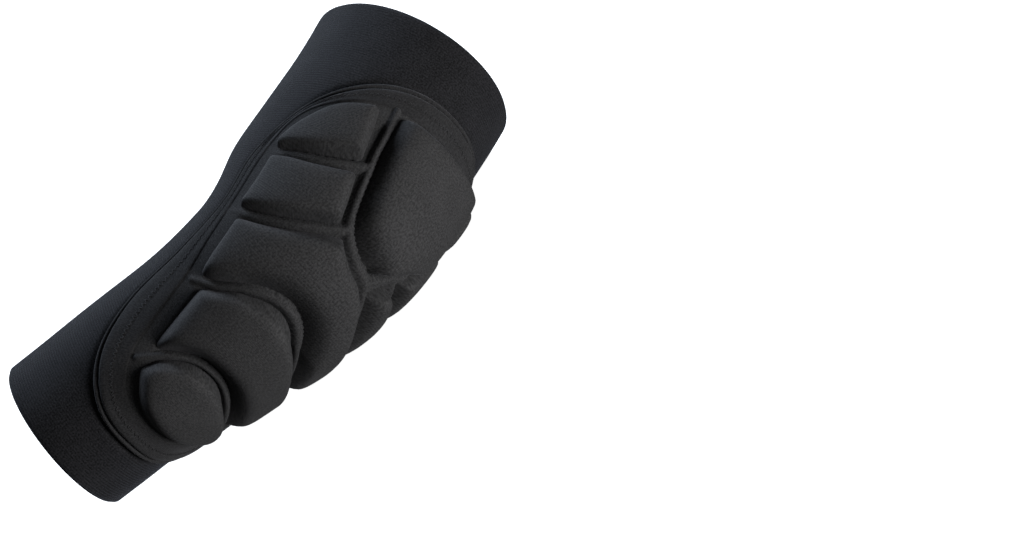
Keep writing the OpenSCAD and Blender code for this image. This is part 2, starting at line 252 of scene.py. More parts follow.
# The two long sides of each block. The low side is the one nearer the forearm, and on the crown the
# one nearer the far side.
LOW_SIDES = {
    "toe": row(FOOT_TOE, 0.35, 5.65, 0),
    "lower_crescent": row(CH_TOE, 0.3, 5.9, CHANNEL_HALF),
    "elbow": row(CH_CRESCENT, 0.2, 6.9, CHANNEL_HALF),
    "near_side": row(CH_NEAR_LOW, 0.65, 2.93, CHANNEL_HALF),
    "near_corner": row(CH_NEAR_HIGH, 0.3, 2.9, CHANNEL_HALF),
    "crown": row(CH_CROWN_FAR, 0.1, 5.6, -CHANNEL_HALF),
    "far_wedge": row(CH_ELBOW_FAR, 0.45, 3.8, CHANNEL_HALF),
    "far_side": row(CH_FAR_LOW, 0.5, 2.8, CHANNEL_HALF),
    "far_corner": row(CH_FAR_HIGH, 0.15, 1.7, CHANNEL_HALF),
}
HIGH_SIDES = {
    "toe": row(CH_TOE, 0.35, 5.65, -CHANNEL_HALF),
    "lower_crescent": row(CH_CRESCENT, 0.45, 6.75, -CHANNEL_HALF),
    "elbow": np.vstack([
        row(CH_NEAR_LOW, 0.9, 2.85, -CHANNEL_HALF),
        row(CH_CROWN_NEAR, 4.15, 5.6, -CHANNEL_HALF),
        row(CH_ELBOW_FAR, 0.35, 3.7, -CHANNEL_HALF)]),
    "near_side": row(CH_NEAR_HIGH, 0.3, 2.9, -CHANNEL_HALF),
    "near_corner": row(FOOT_NEAR_CORNER, 0, 2.9, 0),
    "crown": row(CH_CROWN_NEAR, 0.1, 5.6, CHANNEL_HALF),
    "far_wedge": row(CH_FAR_LOW, 0.2, 2.7, -CHANNEL_HALF),
    "far_side": row(CH_FAR_HIGH, 0.35, 1.7, -CHANNEL_HALF),
    "far_corner": row(FOOT_FAR_CORNER, 0, 2.9, 0),
}
BLOCKS = list(LOW_SIDES)
CHANNELS = [CH_TOE, CH_CRESCENT, CH_NEAR_LOW, CH_NEAR_HIGH, CH_CROWN_NEAR, CH_CROWN_FAR,
            CH_ELBOW_FAR, CH_FAR_LOW, CH_FAR_HIGH]
# Share of the full height that each block reaches, 1 where it isn't listed
BLOCK_RISE = {"toe": 0.95, "crown": 1.04, "far_wedge": 0.95}
# Distance in from the foot over which a full-height wall rounds into the flat top, and the longer
# one of the low side, which for the crown is on the high side
WALL_RUN = 4.8
LONG_RUN = {"toe": 9.0, "lower_crescent": 11.0, "elbow": 11.0, "crown": 10.0, "far_wedge": 8.0}
# The same distance at the near end of a block, beside the border band
NEAR_END_RUN = {"lower_crescent": 12.0, "elbow": 9.0, "near_side": 7.5, "near_corner": 7.5}
# How steeply the walls rise, how sharply they round into the top, and the top's share of crowning
WALL_SLOPE = 1.9
WALL_POWER = 3.6
CROWNING = 0.04
# Rounding of the corners, as a share of those distances
CORNER = {"toe": 0.3}
PLAIN_CORNER = 0.16


# ---------------------------------------------------------------- heights of the pad
def distance_to(points, line):
    """Least distance from flat points to a line of flat points."""
    least = np.full(len(points), np.inf)
    for p, q in zip(line[:-1], line[1:]):
        d = q - p
        length = max(float(d @ d), 1e-9)
        t = np.clip((points - p) @ d / length, 0, 1)
        least = np.minimum(least, np.linalg.norm(points - p - t[:, None] * d, axis=1))
    return least


def inside(points, outline):
    """Whether each flat point is inside a closed outline."""
    x, y = points.T
    odd = np.zeros(len(points), bool)
    for p, q in zip(outline, np.roll(outline, -1, 0)):
        crosses = (p[1] > y) != (q[1] > y)
        odd ^= crosses & (x < (q[0] - p[0]) * (y - p[1]) / (q[1] - p[1] + 1e-12) + p[0])
    return odd


def evenly(side, shares):
    """Places at shares of the length of a side, measured flat."""
    line = flat(*side.T)
    run = np.concatenate([[0], np.cumsum(np.linalg.norm(np.diff(line, axis=0), axis=1))])
    return np.stack([np.interp(shares * run[-1], run, side[:, k]) for k in (0, 1)], -1)


# Places in from an edge in mm, and the share of a short length that they may take at each end
EDGE_STEPS = np.array([0, 0.02, 0.15, 0.45, 0.9, 1.5, 2.2, 3.0, 4.0, 5.5])
EDGE_SHARE = 0.42


def edge_spaced(length, count, inset):
    """Shares across a length in mm: close together at both edges, count even steps between them."""
    edge = inset + EDGE_STEPS * np.clip((EDGE_SHARE * length - inset) / EDGE_STEPS[-1], 0.01, 1)
    middle = np.linspace(edge[-1], length - edge[-1], count + 1)[1:-1]
    return np.concatenate([edge, middle, (length - edge)[::-1]]) / length


def block_places(b, cell, inset=0.0):
    """Grid of places over one block, from its low side to its high side."""
    low, high = LOW_SIDES[b], HIGH_SIDES[b]
    shares = np.linspace(0, 1, 60)
    middle = flat(*((evenly(low, shares) + evenly(high, shares)) / 2).T)
    length = np.linalg.norm(np.diff(middle, axis=0), axis=1).sum()
    rows = edge_spaced(length, max(3, int(length / cell)), inset)
    low, high = evenly(low, rows), evenly(high, rows)
    width = np.linalg.norm(flat(*high.T) - flat(*low.T), axis=1)
    count = max(3, int(width.max() / cell))
    across = np.stack([edge_spaced(w, count, min(inset, 0.2 * w)) for w in width])[..., None]
    grid = low[:, None] * (1 - across) + high[:, None] * across
    return grid[..., 0], grid[..., 1]


def from_edges(b, s, a, inset=0.0):
    """How far in from the block's outline a place is, as a share of the way to its flat top.

    It is the least of the shares from the four edges, eased where two of them are alike.
    """
    low, high = flat(*LOW_SIDES[b].T), flat(*HIGH_SIDES[b].T)
    points = flat(np.ravel(s), np.ravel(a))
    ends = [np.stack([low[0], high[0]]), np.stack([low[-1], high[-1]])]
    away = [distance_to(points, low) - inset, distance_to(points, high) - inset]
    away += [distance_to(points, end) - inset for end in ends]
    full = np.clip(1 - SIDE_TAPER * (points[:, 1] / QUARTER_ROUND) ** 2, 0.5, 1)
    runs = np.full((4, 1), WALL_RUN)
    runs[1 if b == "crown" else 0] = LONG_RUN.get(b, WALL_RUN)
    runs[2] = NEAR_END_RUN.get(b, WALL_RUN)
    shares = np.stack(away) / runs / full
    corner = CORNER.get(b, PLAIN_CORNER)
    soft = -corner * np.log(np.exp(-shares / corner).sum(0))
    return np.clip(soft, 0, np.clip(shares.min(0), 0, None)).reshape(np.shape(s))


def block_height(b, s, a, inset=0.0, drop=0.0):
    """Height of a block's face: rounded walls, longer on one side, and a nearly flat top."""
    full = BLOCK_H * BLOCK_RISE.get(b, 1.0) * (1 - SIDE_TAPER * (a / 90) ** 2)
    edge = from_edges(b, s, a, inset)
    steep = WALL_SLOPE * edge
    wall = steep / (1 + steep ** WALL_POWER) ** (1 / WALL_POWER)
    dome = (1 - CROWNING) * wall + CROWNING * (1 - np.exp(-edge / 2))
    return FOOT + (full + FLOOR - FOOT - drop) * dome


def floor_height(s, a):
    """Height of the sheet between the blocks, with a rib along the middle of each channel."""
    points = flat(np.ravel(s), np.ravel(a))
    away = np.full(len(points), np.inf)
    for channel in CHANNELS:
        line = along(channel, np.linspace(0, len(channel) - 1, 8 * len(channel)))
        away = np.minimum(away, distance_to(points, flat(*line.T)))
    thinner = 1 - SIDE_TAPER * (np.ravel(a) / 90) ** 2
    rib = RIB_H * np.sqrt(np.clip(1 - (away / RIB_HALF) ** 2, 0, 1)) * thinner
    outline = flat(*around(INNER_RING, np.linspace(0, RING_ALL, RING_POINTS)).T)
    beside_band = MARGIN_H * smooth((MARGIN_W - distance_to(points, outline)) / MARGIN_FALL)
    return (FLOOR + np.maximum(rib, beside_band)).reshape(np.shape(s))


# ---------------------------------------------------------------- meshes from grids of points
def grid_solid(name, outer, inner, weave, around=False, loop=False):
    """Closed solid between two grids of points, rows by columns.

    around joins the last column to the first, and loop the last row to the first. weave holds flat
    millimetres for the weave, with one more column or row where the grid is joined.
    """
    rows, cols = outer.shape[:2]
    n = rows * cols
    row_steps = np.arange(rows if loop else rows - 1)
    col_steps = np.arange(cols if around else cols - 1)
    i, j = np.meshgrid(row_steps, col_steps, indexing="ij")
    corners = np.stack([np.stack([i, j], -1), np.stack([i, j + 1], -1),
                        np.stack([i + 1, j + 1], -1), np.stack([i + 1, j], -1)], -2).reshape(-1, 4, 2)
    index = (corners[..., 0] % rows) * cols + corners[..., 1] % cols
    faces = [index, index[:, ::-1] + n]
    places = [corners, corners[:, ::-1]]
    edges = []
    if not loop:
        k = col_steps
        edges += [(np.stack([0 * k, k], -1), np.stack([0 * k, k + 1], -1)),
                  (np.stack([0 * k + rows - 1, k + 1], -1), np.stack([0 * k + rows - 1, k], -1))]
    if not around:
        k = row_steps
        edges += [(np.stack([k + 1, 0 * k], -1), np.stack([k, 0 * k], -1)),
                  (np.stack([k, 0 * k + cols - 1], -1), np.stack([k + 1, 0 * k + cols - 1], -1))]
    for p, q in edges:
        at_p = (p[:, 0] % rows) * cols + p[:, 1] % cols
        at_q = (q[:, 0] % rows) * cols + q[:, 1] % cols
        faces.append(np.stack([at_p, at_p + n, at_q + n, at_q], -1))
        places.append(np.stack([p, p, q, q], 1))
    faces, places = np.concatenate(faces), np.concatenate(places)
    mesh = bpy.data.meshes.new(name)
    verts = np.concatenate([outer.reshape(-1, 3), inner.reshape(-1, 3)])
    mesh.from_pydata(verts.tolist(), [], faces.tolist())
    uv = mesh.uv_layers.new(name="weave")
    where = weave[places[..., 0], places[..., 1]].reshape(-1, 2)
    uv.data.foreach_set("uv", where.astype(np.float32).ravel())
    return finished(name, mesh)


def finished(name, mesh):
    """Object of a mesh with its normals outwards and its faces smooth."""
    work = bmesh.new()
    work.from_mesh(mesh)
    bmesh.ops.recalc_face_normals(work, faces=work.faces)
    work.to_mesh(mesh)
    work.free()
    mesh.polygons.foreach_set("use_smooth", np.ones(len(mesh.polygons), bool))
    mesh.update()
    obj = bpy.data.objects.new(name, mesh)
    scene.collection.objects.link(obj)
    return obj


def normals_of(grid, out):
    """Unit normals of a grid of points, on the side that out points to."""
    down, across = np.gradient(grid, axis=0), np.gradient(grid, axis=1)
    n = np.cross(across, down)
    n /= np.maximum(np.linalg.norm(n, axis=-1, keepdims=True), 1e-12)
    return n * (1.0 if (n * out).sum() > 0 else -1.0)


# ---------------------------------------------------------------- materials
def node(tree, kind, **settings):
    """New shader node, each setting put on its socket of that name or else on the node itself."""
    made = tree.nodes.new(kind)
    for key, value in settings.items():
        if key in made.inputs:
            made.inputs[key].default_value = value
        else:
            setattr(made, key, value)
    return made


def shader(name, **settings):
    """New material with one Principled shader."""
    material = bpy.data.materials.new(name)
    material.use_nodes = True
    tree = material.node_tree
    tree.nodes.clear()
    bsdf = node(tree, "ShaderNodeBsdfPrincipled", **settings)
    out = node(tree, "ShaderNodeOutputMaterial")
    tree.links.new(bsdf.outputs[0], out.inputs[0])
    return material, tree, bsdf


def math_node(tree, operation, first, second=None):
    """Output of a new math node, each side a number or another node's output."""
    made = node(tree, "ShaderNodeMath", operation=operation)
    for socket, value in zip(made.inputs, (first, second)):
        if value is None:
            continue
        if isinstance(value, (int, float)):
            socket.default_value = value
        else:
            tree.links.new(value, socket)
    return made.outputs[0]


def fabric(name, dark, light, pitch, mottle, sheen, rough=0.85, bump=0.35, fuzz=0.5, along_share=1.5):
    """Knitted or woven cloth, mottled between the colours dark and light.

    pitch is the width of one stitch in mm, along_share its length in widths, and mottle the size in mm
    of the flecks. sheen is its weight, roughness and tint. bump and fuzz are the relief of the stitches
    and of the fine hairs.
    """
    material, tree, bsdf = shader(
        name, **{"Sheen Weight": sheen[0], "Sheen Roughness": sheen[1], "Sheen Tint": (*sheen[2], 1),
                 "Specular IOR Level": 0.2})
    link = tree.links.new
    place_map = node(tree, "ShaderNodeUVMap", uv_map="weave")
    split = node(tree, "ShaderNodeSeparateXYZ")
    link(place_map.outputs[0], split.inputs[0])
    # Columns of stitches, crossed by rows that lean to both sides of each column
    turns = 2 * math.pi / pitch
    wale = math_node(tree, "SINE", math_node(tree, "MULTIPLY", split.outputs[1], turns))
    column = math_node(tree, "ABSOLUTE", wale)
    course_at = math_node(tree, "MULTIPLY", split.outputs[0], turns / along_share)
    lean = math_node(tree, "ADD", course_at, math_node(tree, "MULTIPLY", column, 1.4))
    course = math_node(tree, "SINE", lean)
    stitches = math_node(tree, "MULTIPLY", column, math_node(tree, "ADD", course, 1.6))
    # Colour: small flecks, wide clouds and a trace of the stitches
    flecks = node(tree, "ShaderNodeTexNoise", Scale=1 / mottle, Detail=3.0, Roughness=0.7)
    link(place_map.outputs[0], flecks.inputs["Vector"])
    clouds = node(tree, "ShaderNodeTexNoise", Scale=1 / (mottle * 14), Detail=2.0, Roughness=0.6)
    link(place_map.outputs[0], clouds.inputs["Vector"])
    mix_at = math_node(tree, "ADD", math_node(tree, "MULTIPLY", flecks.outputs[0], 2.2),
                       math_node(tree, "MULTIPLY", clouds.outputs[0], 0.3))
    mix_at = math_node(tree, "ADD", mix_at, math_node(tree, "MULTIPLY", stitches, 0.06))
    ramp = node(tree, "ShaderNodeValToRGB")
    ramp.color_ramp.elements[0].color = (*dark, 1)
    ramp.color_ramp.elements[1].color = (*light, 1)
    ranged = node(tree, "ShaderNodeMapRange")
    ranged.inputs["From Min"].default_value = 1.06
    ranged.inputs["From Max"].default_value = 1.56
    link(mix_at, ranged.inputs["Value"])
    link(ranged.outputs[0], ramp.inputs[0])
    link(ramp.outputs[0], bsdf.inputs["Base Color"])
    rough_range = node(tree, "ShaderNodeMapRange")
    rough_range.inputs["To Min"].default_value = rough - 0.12
    rough_range.inputs["To Max"].default_value = min(1.0, rough + 0.1)
    link(flecks.outputs[0], rough_range.inputs["Value"])
    link(rough_range.outputs[0], bsdf.inputs["Roughness"])
    hairs = node(tree, "ShaderNodeTexNoise", Scale=1 / (mottle * 0.45), Detail=2.0, Roughness=0.6)
    link(place_map.outputs[0], hairs.inputs["Vector"])
    relief = math_node(tree, "ADD", math_node(tree, "MULTIPLY", stitches, bump),
                       math_node(tree, "MULTIPLY", hairs.outputs[0], fuzz))
    bump_node = node(tree, "ShaderNodeBump", Strength=0.6, Distance=0.00025)
    link(relief, bump_node.inputs["Height"])
    link(bump_node.outputs[0], bsdf.inputs["Normal"])
    return material


# Tints of the sheen
BLUE = (0.72, 0.8, 1.0)
GREY = (0.9, 0.92, 1.0)
knit = fabric("brushed_knit", (0.0015, 0.0015, 0.002), (0.023, 0.023, 0.026), 0.9, 0.9,
              (0.16, 0.4, BLUE))
face_cloth = fabric("face_knit", (0.021, 0.021, 0.022), (0.052, 0.052, 0.054), 0.55, 0.8,
                    (0.06, 0.4, GREY), rough=0.78, bump=0.2, fuzz=0.3)
floor_cloth = fabric("channel_cloth", (0.02, 0.02, 0.021), (0.05, 0.05, 0.052), 0.55, 0.8,
                     (0.05, 0.4, GREY), rough=0.85, bump=0.2, fuzz=0.3)
band_cloth = fabric("band_fabric", (0.014, 0.014, 0.015), (0.036, 0.036, 0.038), 0.7, 0.9,
                    (0.1, 0.4, GREY), rough=0.85, bump=0.3, fuzz=0.4)
thread = fabric("stitch_thread", (0.02, 0.02, 0.021), (0.045, 0.045, 0.048), 0.35, 0.4,
                (0.1, 0.35, GREY), rough=0.7, along_share=0.8)


def foam_material():
    material, tree, bsdf = shader("closed_cell_foam", **{"Specular IOR Level": 0.3})
    link = tree.links.new
    place_map = node(tree, "ShaderNodeUVMap", uv_map="weave")
    cells = node(tree, "ShaderNodeTexVoronoi", Scale=1.6)
    link(place_map.outputs[0], cells.inputs["Vector"])
    ramp = node(tree, "ShaderNodeValToRGB")
    ramp.color_ramp.elements[0].color = (0.015, 0.015, 0.016, 1)
    ramp.color_ramp.elements[1].color = (0.035, 0.035, 0.036, 1)
    link(cells.outputs["Distance"], ramp.inputs[0])
    link(ramp.outputs[0], bsdf.inputs["Base Color"])
    rough = node(tree, "ShaderNodeMapRange")
    rough.inputs["To Min"].default_value = 0.6
    rough.inputs["To Max"].default_value = 0.95
    link(cells.outputs["Distance"], rough.inputs["Value"])
    link(rough.outputs[0], bsdf.inputs["Roughness"])
    bump_node = node(tree, "ShaderNodeBump", Strength=0.4, Distance=0.0003)
    link(cells.outputs["Distance"], bump_node.inputs["Height"])
    link(bump_node.outputs[0], bsdf.inputs["Normal"])
    return material


foam = foam_material()


def dress(obj, material, slot, *nodes):
    """Give a piece its material and hide the CAD nodes that it replaces. slot is not used."""
    obj.data.materials.append(material)
    if nodes:
        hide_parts(*nodes)
    return obj


def crosses_elbow(obj):
    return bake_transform(obj)


# ---------------------------------------------------------------- sleeve and hems
# Rows along the sleeve's grid, columns round it, and columns round the hems; the sleeve is wider at the
# upper arm
SLEEVE_ROWS = 190
SLEEVE_COLS = 220
HEM_COLS = 160
# Stretch beside each rim where the knit lies smooth, and the rounding of the rim
RIM_SMOOTH = 12
RIM_ROUND = (1.6, 1.1)
# Width of the piped edge
LIP_W = 2.8


def ring_distance(s, a):
    """Flat distance outwards from the border band's outer edge, negative on the pad."""
    ring = around(OUTER_RING, np.linspace(0, RING_ALL, RING_POINTS))
    line = flat(*ring.T)
    points = flat(np.ravel(s), np.ravel(a))
    away = distance_to(points, line)
    return np.where(inside(points, line[:-1]), -away, away).reshape(np.shape(s))


def sleeve_relief(s, a):
    """Unevenness of the knit, a groove where the pad is sewn down, and folds inside the elbow."""
    angle = np.radians(a)
    uneven = 0.35 * np.sin(s / 17 + 1.3 * np.sin(angle * 2)) * np.sin(angle * 3 + s / 40)
    groove = -1.2 * np.exp(-((ring_distance(s, a) - LIP_W - 0.5) / 1.4) ** 2)
    turned = np.abs((a + 180) % 360 - 180)
    in_crook = smooth((turned - 135) / 35) * np.exp(-((s - 6) / 30) ** 2)
    folds = 0.8 * in_crook * np.sin(s / 3.4 + 0.8 * np.sin(angle * 2.5))
    return uneven + groove + folds


def sleeve():
    """The knitted tube from rim to rim, one sheet with rounded rims."""
    s = np.linspace(-FOREARM_LENGTH, UPPER_LENGTH, SLEEVE_ROWS)
    a = np.linspace(-180, 180, SLEEVE_COLS, endpoint=False)
    S, A = np.meshgrid(s, a, indexing="ij")
    relief = sleeve_relief(S, A)
    ends = np.minimum(S + FOREARM_LENGTH, UPPER_LENGTH - S)
    edge = RIM_ROUND[1] * np.clip(1 - ends / RIM_ROUND[0], 0, 1) ** 2
    relief = relief * smooth(ends / RIM_SMOOTH) - edge
    outer = place(S, A, relief)
    inner = place(S, A, relief * smooth(ends / RIM_SMOOTH) - SLEEVE_T + edge)
    weave_s, weave_a = np.meshgrid(s, np.linspace(-180, 180, SLEEVE_COLS + 1), indexing="ij")
    piece = grid_solid("sleeve", outer, inner, flat(weave_s, weave_a), around=True)
    dress(piece, knit, "knit", "upper_sleeve", "elbow_sleeve", "forearm_sleeve")
    return crosses_elbow(piece)


def hem(name, rim, inwards, body, cad_node):
    """Inner turn of a hem: a second layer inside the sleeve from the rim, with a thin free edge.

    At each step in from the rim, gap is how far it lies under the sleeve and thick its thickness.
    """
    steps = np.array([0.4, 0.9, 1.8, 3, 6, 10, 14, 16.2, 17.4, 18.0])
    gap = np.array([0.9, 0.35, 0.12, 0.1, 0.1, 0.1, 0.1, 0.1, 0.1, 0.35])
    thick = np.array([0.5, 1.0, 1.3, 1.4, 1.4, 1.4, 1.4, 1.35, 1.2, 0.6])
    s = rim + inwards * steps
    a = np.linspace(-180, 180, HEM_COLS, endpoint=False)
    S, A = np.meshgrid(s, a, indexing="ij")
    wave = 0.12 * np.sin(np.radians(A) * 9) * (steps > 5)[:, None]
    outer = place(S, A, -SLEEVE_T - gap[:, None] + wave)
    inner = place(S, A, -SLEEVE_T - (gap + thick)[:, None] + wave)
    weave_s, weave_a = np.meshgrid(s, np.linspace(-180, 180, HEM_COLS + 1), indexing="ij")
    piece = grid_solid(name, outer, inner, flat(weave_s, weave_a), around=True)
    dress(piece, knit, "knit", cad_node)
    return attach(piece, body)


# ---------------------------------------------------------------- pad
# Where the sheet begins and ends along the ring, and the share of the band's width that it reaches
# under
SHEET_START = 0.06
UNDER_BAND = 0.35


def edge_places(t, count):
    """Evenly spaced places down the near side of the band, t across it from its inner edge."""
    u = np.linspace(SHEET_START, RING_TOP - SHEET_START, 2000)
    line = (1 - t) * around(INNER_RING, u) + t * around(OUTER_RING, u)
    run = np.concatenate([[0], np.cumsum(np.linalg.norm(np.diff(flat(*line.T), axis=0), axis=1))])
    even = np.interp(np.linspace(0, run[-1], count), run, u)
    return (1 - t) * around(INNER_RING, even) + t * around(OUTER_RING, even)


def pad_grid(t, rows, cols):
    """Grid of places from the near side of the band to the same places on the far side."""
    edge = edge_places(t, rows)
    share = np.linspace(1, -1, cols)
    s = np.repeat(edge[:, :1], cols, 1)
    return s, edge[:, 1:] * share[None, :]


# Size of one cell of the faces, the foam and the simulated cloth
FACE_CELL = 1.2
FOAM_CELL = 2.5
SIM_CELL = 3.0
SIM_FRAMES = 18
# The most that a face may be pressed out, and reach of the mean that smooths it
PUFF_CAP = 1.0
PUFF_REACH = 2.0
# The foam stops this far in from a block's outline and this far under its face, and its edge lies
# this far over the sheet
FOAM_INSET = 1.1
FOAM_UNDER = 0.5
FOAM_OVER = 0.15


def cover_points(b, cell):
    """Places, heights, points and outward normals of one block's face."""
    s, a = block_places(b, cell)
    h = block_height(b, s, a)
    points = place(s, a, h)
    out = place(s, a, h + 1) - points
    return s, a, h, points, normals_of(points, out)


def puffed():
    """Cloth simulation of the covers, pressed out by the foam.

    It gives each block's flat spots and how far each of them was lifted, in mm.
    """
    verts, faces, held_at, parts = [], [], [], {}
    for b in BLOCKS:
        s, a, h, points, out = cover_points(b, SIM_CELL)
        rows, cols = h.shape
        i, j = np.meshgrid(np.arange(rows - 1), np.arange(cols - 1), indexing="ij")
        start = sum(len(v) for v in verts)
        k = (start + i * cols + j).ravel()
        faces += np.stack([k, k + 1, k + cols + 1, k + cols], -1).tolist()
        verts.append(points.reshape(-1, 3))
        edge = from_edges(b, s, a).ravel()
        held_at += (start + np.flatnonzero(edge < 0.3)).tolist()
        parts[b] = (start, start + rows * cols, flat(s, a).reshape(-1, 2), out.reshape(-1, 3))
    before = np.concatenate(verts)
    mesh = bpy.data.meshes.new("puff")
    mesh.from_pydata(before.tolist(), [], faces)
    cloth_piece = bpy.data.objects.new("puff", mesh)
    scene.collection.objects.link(cloth_piece)
    held = cloth_piece.vertex_groups.new(name="held")
    held.add(held_at, 1.0, "REPLACE")
    cloth = cloth_piece.modifiers.new("cloth", "CLOTH")
    cloth.settings.quality = 5
    cloth.settings.vertex_group_mass = "held"
    cloth.settings.use_pressure = True
    cloth.settings.uniform_pressure_force = 3.0
    cloth.settings.tension_stiffness = 12
    cloth.settings.compression_stiffness = 12
    cloth.settings.bending_stiffness = 1.5
    cloth.settings.effector_weights.gravity = 0
    cloth.collision_settings.use_collision = False
    cloth.point_cache.frame_start, cloth.point_cache.frame_end = 1, SIM_FRAMES
    for f in range(1, SIM_FRAMES + 1):
        scene.frame_set(f)
    shown = cloth_piece.evaluated_get(bpy.context.evaluated_depsgraph_get()).data
    after = np.array([v.co for v in shown.vertices])
    bpy.data.objects.remove(cloth_piece)
    scene.frame_set(1)
    lifts = {}
    for b, (start, end, spots, out) in parts.items():
        lift = ((after[start:end] - before[start:end]) * out).sum(-1) / MM
        lifts[b] = (spots, lift)
    return lifts


def spread_out(spots, lift, s, a):
    """Lift at every place, as the mean of the simulated spots round it."""
    points = flat(np.ravel(s), np.ravel(a))
    spread = np.zeros(len(points))
    for start in range(0, len(points), 2000):
        part = points[start:start + 2000]
        away = np.linalg.norm(part[:, None] - spots[None], axis=-1)
        weight = np.exp(-(away / PUFF_REACH) ** 2) + 1e-9
        spread[start:start + 2000] = (weight * lift).sum(1) / weight.sum(1)
    return spread.reshape(np.shape(s))


def block_face(b, lifts):
    """Face fabric moulded over one block."""
    s, a, h, points, out = cover_points(b, FACE_CELL)
    edge = from_edges(b, s, a)
    if lifts:
        lift = np.clip(spread_out(*lifts[b], s, a), 0, PUFF_CAP)
        h = h + lift * smooth(edge)
        points = place(s, a, h)
        out = normals_of(points, out)
    thick = np.minimum(FACE_T, 0.05 + 1.8 * edge)
    piece = grid_solid(b + "_face", points, points - out * thick[..., None] * MM, flat(s, a))
    dress(piece, face_cloth, "face", b + "_cover")
    return crosses_elbow(piece)


def foam_block(b):
    """Moulded foam under the face of one block."""
    s, a = block_places(b, FOAM_CELL, FOAM_INSET)
    bottom = FLOOR + FOAM_OVER
    height = block_height(b, s, a, FOAM_INSET, FACE_T + FOAM_UNDER)
    top = np.maximum(height, bottom + 0.1)
    piece = grid_solid(b + "_foam_core", place(s, a, top), place(s, a, bottom - 0.1), flat(s, a))
    dress(piece, foam, "foam", b + "_foam")
    return crosses_elbow(piece)


def backing():
    """Sheet under the blocks, seen as the ribbed floor of the channels."""
    s, a = pad_grid(UNDER_BAND, 250, 170)
    piece = grid_solid("pad_backing", place(s, a, floor_height(s, a)), place(s, a, BACKING), flat(s, a))
    dress(piece, floor_cloth, "lining", "backing_upper", "backing_elbow", "backing_forearm")
    return crosses_elbow(piece)


# ---------------------------------------------------------------- border band, its edge and stitching
BAND_STEPS = 420
# Width of the band in its weave, length of one zigzag of the stitches, and their height and radius
BAND_W = 12
STITCH_PITCH = 2.6
STITCH_H = 3.75
STITCH_R = 0.24 * MM


def ring_frame():
    """Evenly spaced places along the whole ring, and the flat distance to each of them."""
    u = np.linspace(0, RING_ALL, 4001)
    line = flat(*around(OUTER_RING, u).T)
    run = np.concatenate([[0], np.cumsum(np.linalg.norm(np.diff(line, axis=0), axis=1))])
    even = np.interp(np.linspace(0, run[-1], BAND_STEPS + 1), run, u)
    return even, np.linspace(0, run[-1], BAND_STEPS + 1)


def band_strip(name, offsets, tops, bottoms, material, slot, nodes):
    """Strip round the ring. Offsets are (mm inwards from the outer edge, share of the band's width)."""
    u, run = ring_frame()
    u = u[:-1]
    out_edge, in_edge = around(OUTER_RING, u), around(INNER_RING, u)
    before, after = around(OUTER_RING, u - 0.02), around(OUTER_RING, u + 0.02)
    step = flat(*after.T) - flat(*before.T)
    step /= np.linalg.norm(step, axis=1, keepdims=True)
    inward = np.stack([step[:, 1], -step[:, 0]], -1)
    mm = np.radians(plain_radius(out_edge[:, 0]))
    s, a, weave = [], [], []
    for fixed, share in offsets:
        base = out_edge + share * (in_edge - out_edge)
        s.append(base[:, 0] + fixed * inward[:, 0])
        a.append(base[:, 1] + fixed * inward[:, 1] / mm)
        weave.append(np.stack([run, np.full(len(run), fixed + BAND_W * share)], -1))
    s, a = np.stack(s, -1), np.stack(a, -1)
    outer = place(s, a, np.asarray(tops)[None, :])
    inner = place(s, a, np.asarray(bottoms)[None, :])
    piece = grid_solid(name, outer, inner, np.stack(weave, 1), loop=True)
    dress(piece, material, slot, *nodes)
    return crosses_elbow(piece)


def border_band():
    """Flat band round the blocks, with a rounded outer edge and a rise to its inner edge."""
    offsets = [(0.15, 0), (0.5, 0), (1.0, 0), (1.7, 0), (0, 0.3), (0, 0.45), (0, 0.6), (0, 0.75),
               (-1.2, 1), (-0.5, 1), (0, 1), (0.35, 1)]
    tops = [1.9, 2.7, 3.4, 3.75, 3.75, 3.6, 3.7, 3.8, 3.9, 3.8, 3.45, 3.0]
    bottoms = [1.6, 1.6, 1.7, 1.9, 2.2, 2.4, 2.6, 2.8, 2.85, 2.85, 2.85, 2.8]
    nodes = ["border_upper", "border_elbow", "border_forearm"]
    return band_strip("border_band", offsets, tops, bottoms, band_cloth, "band", nodes)


def edge_piping():
    """Rounded edge just outside the band."""
    offsets = [(-LIP_W, 0), (-LIP_W + 0.25, 0), (-LIP_W + 0.9, 0), (-1.4, 0), (-0.7, 0), (-0.2, 0),
               (0.05, 0)]
    tops = [0.5, 1.5, 2.3, 2.6, 2.4, 1.7, 1.0]
    bottoms = [0.1, 0.05, 0.05, 0.05, 0.05, 0.1, 0.2]
    nodes = ["piping_upper", "piping_elbow", "piping_forearm"]
    return band_strip("edge_piping", offsets, tops, bottoms, band_cloth, "piping", nodes)


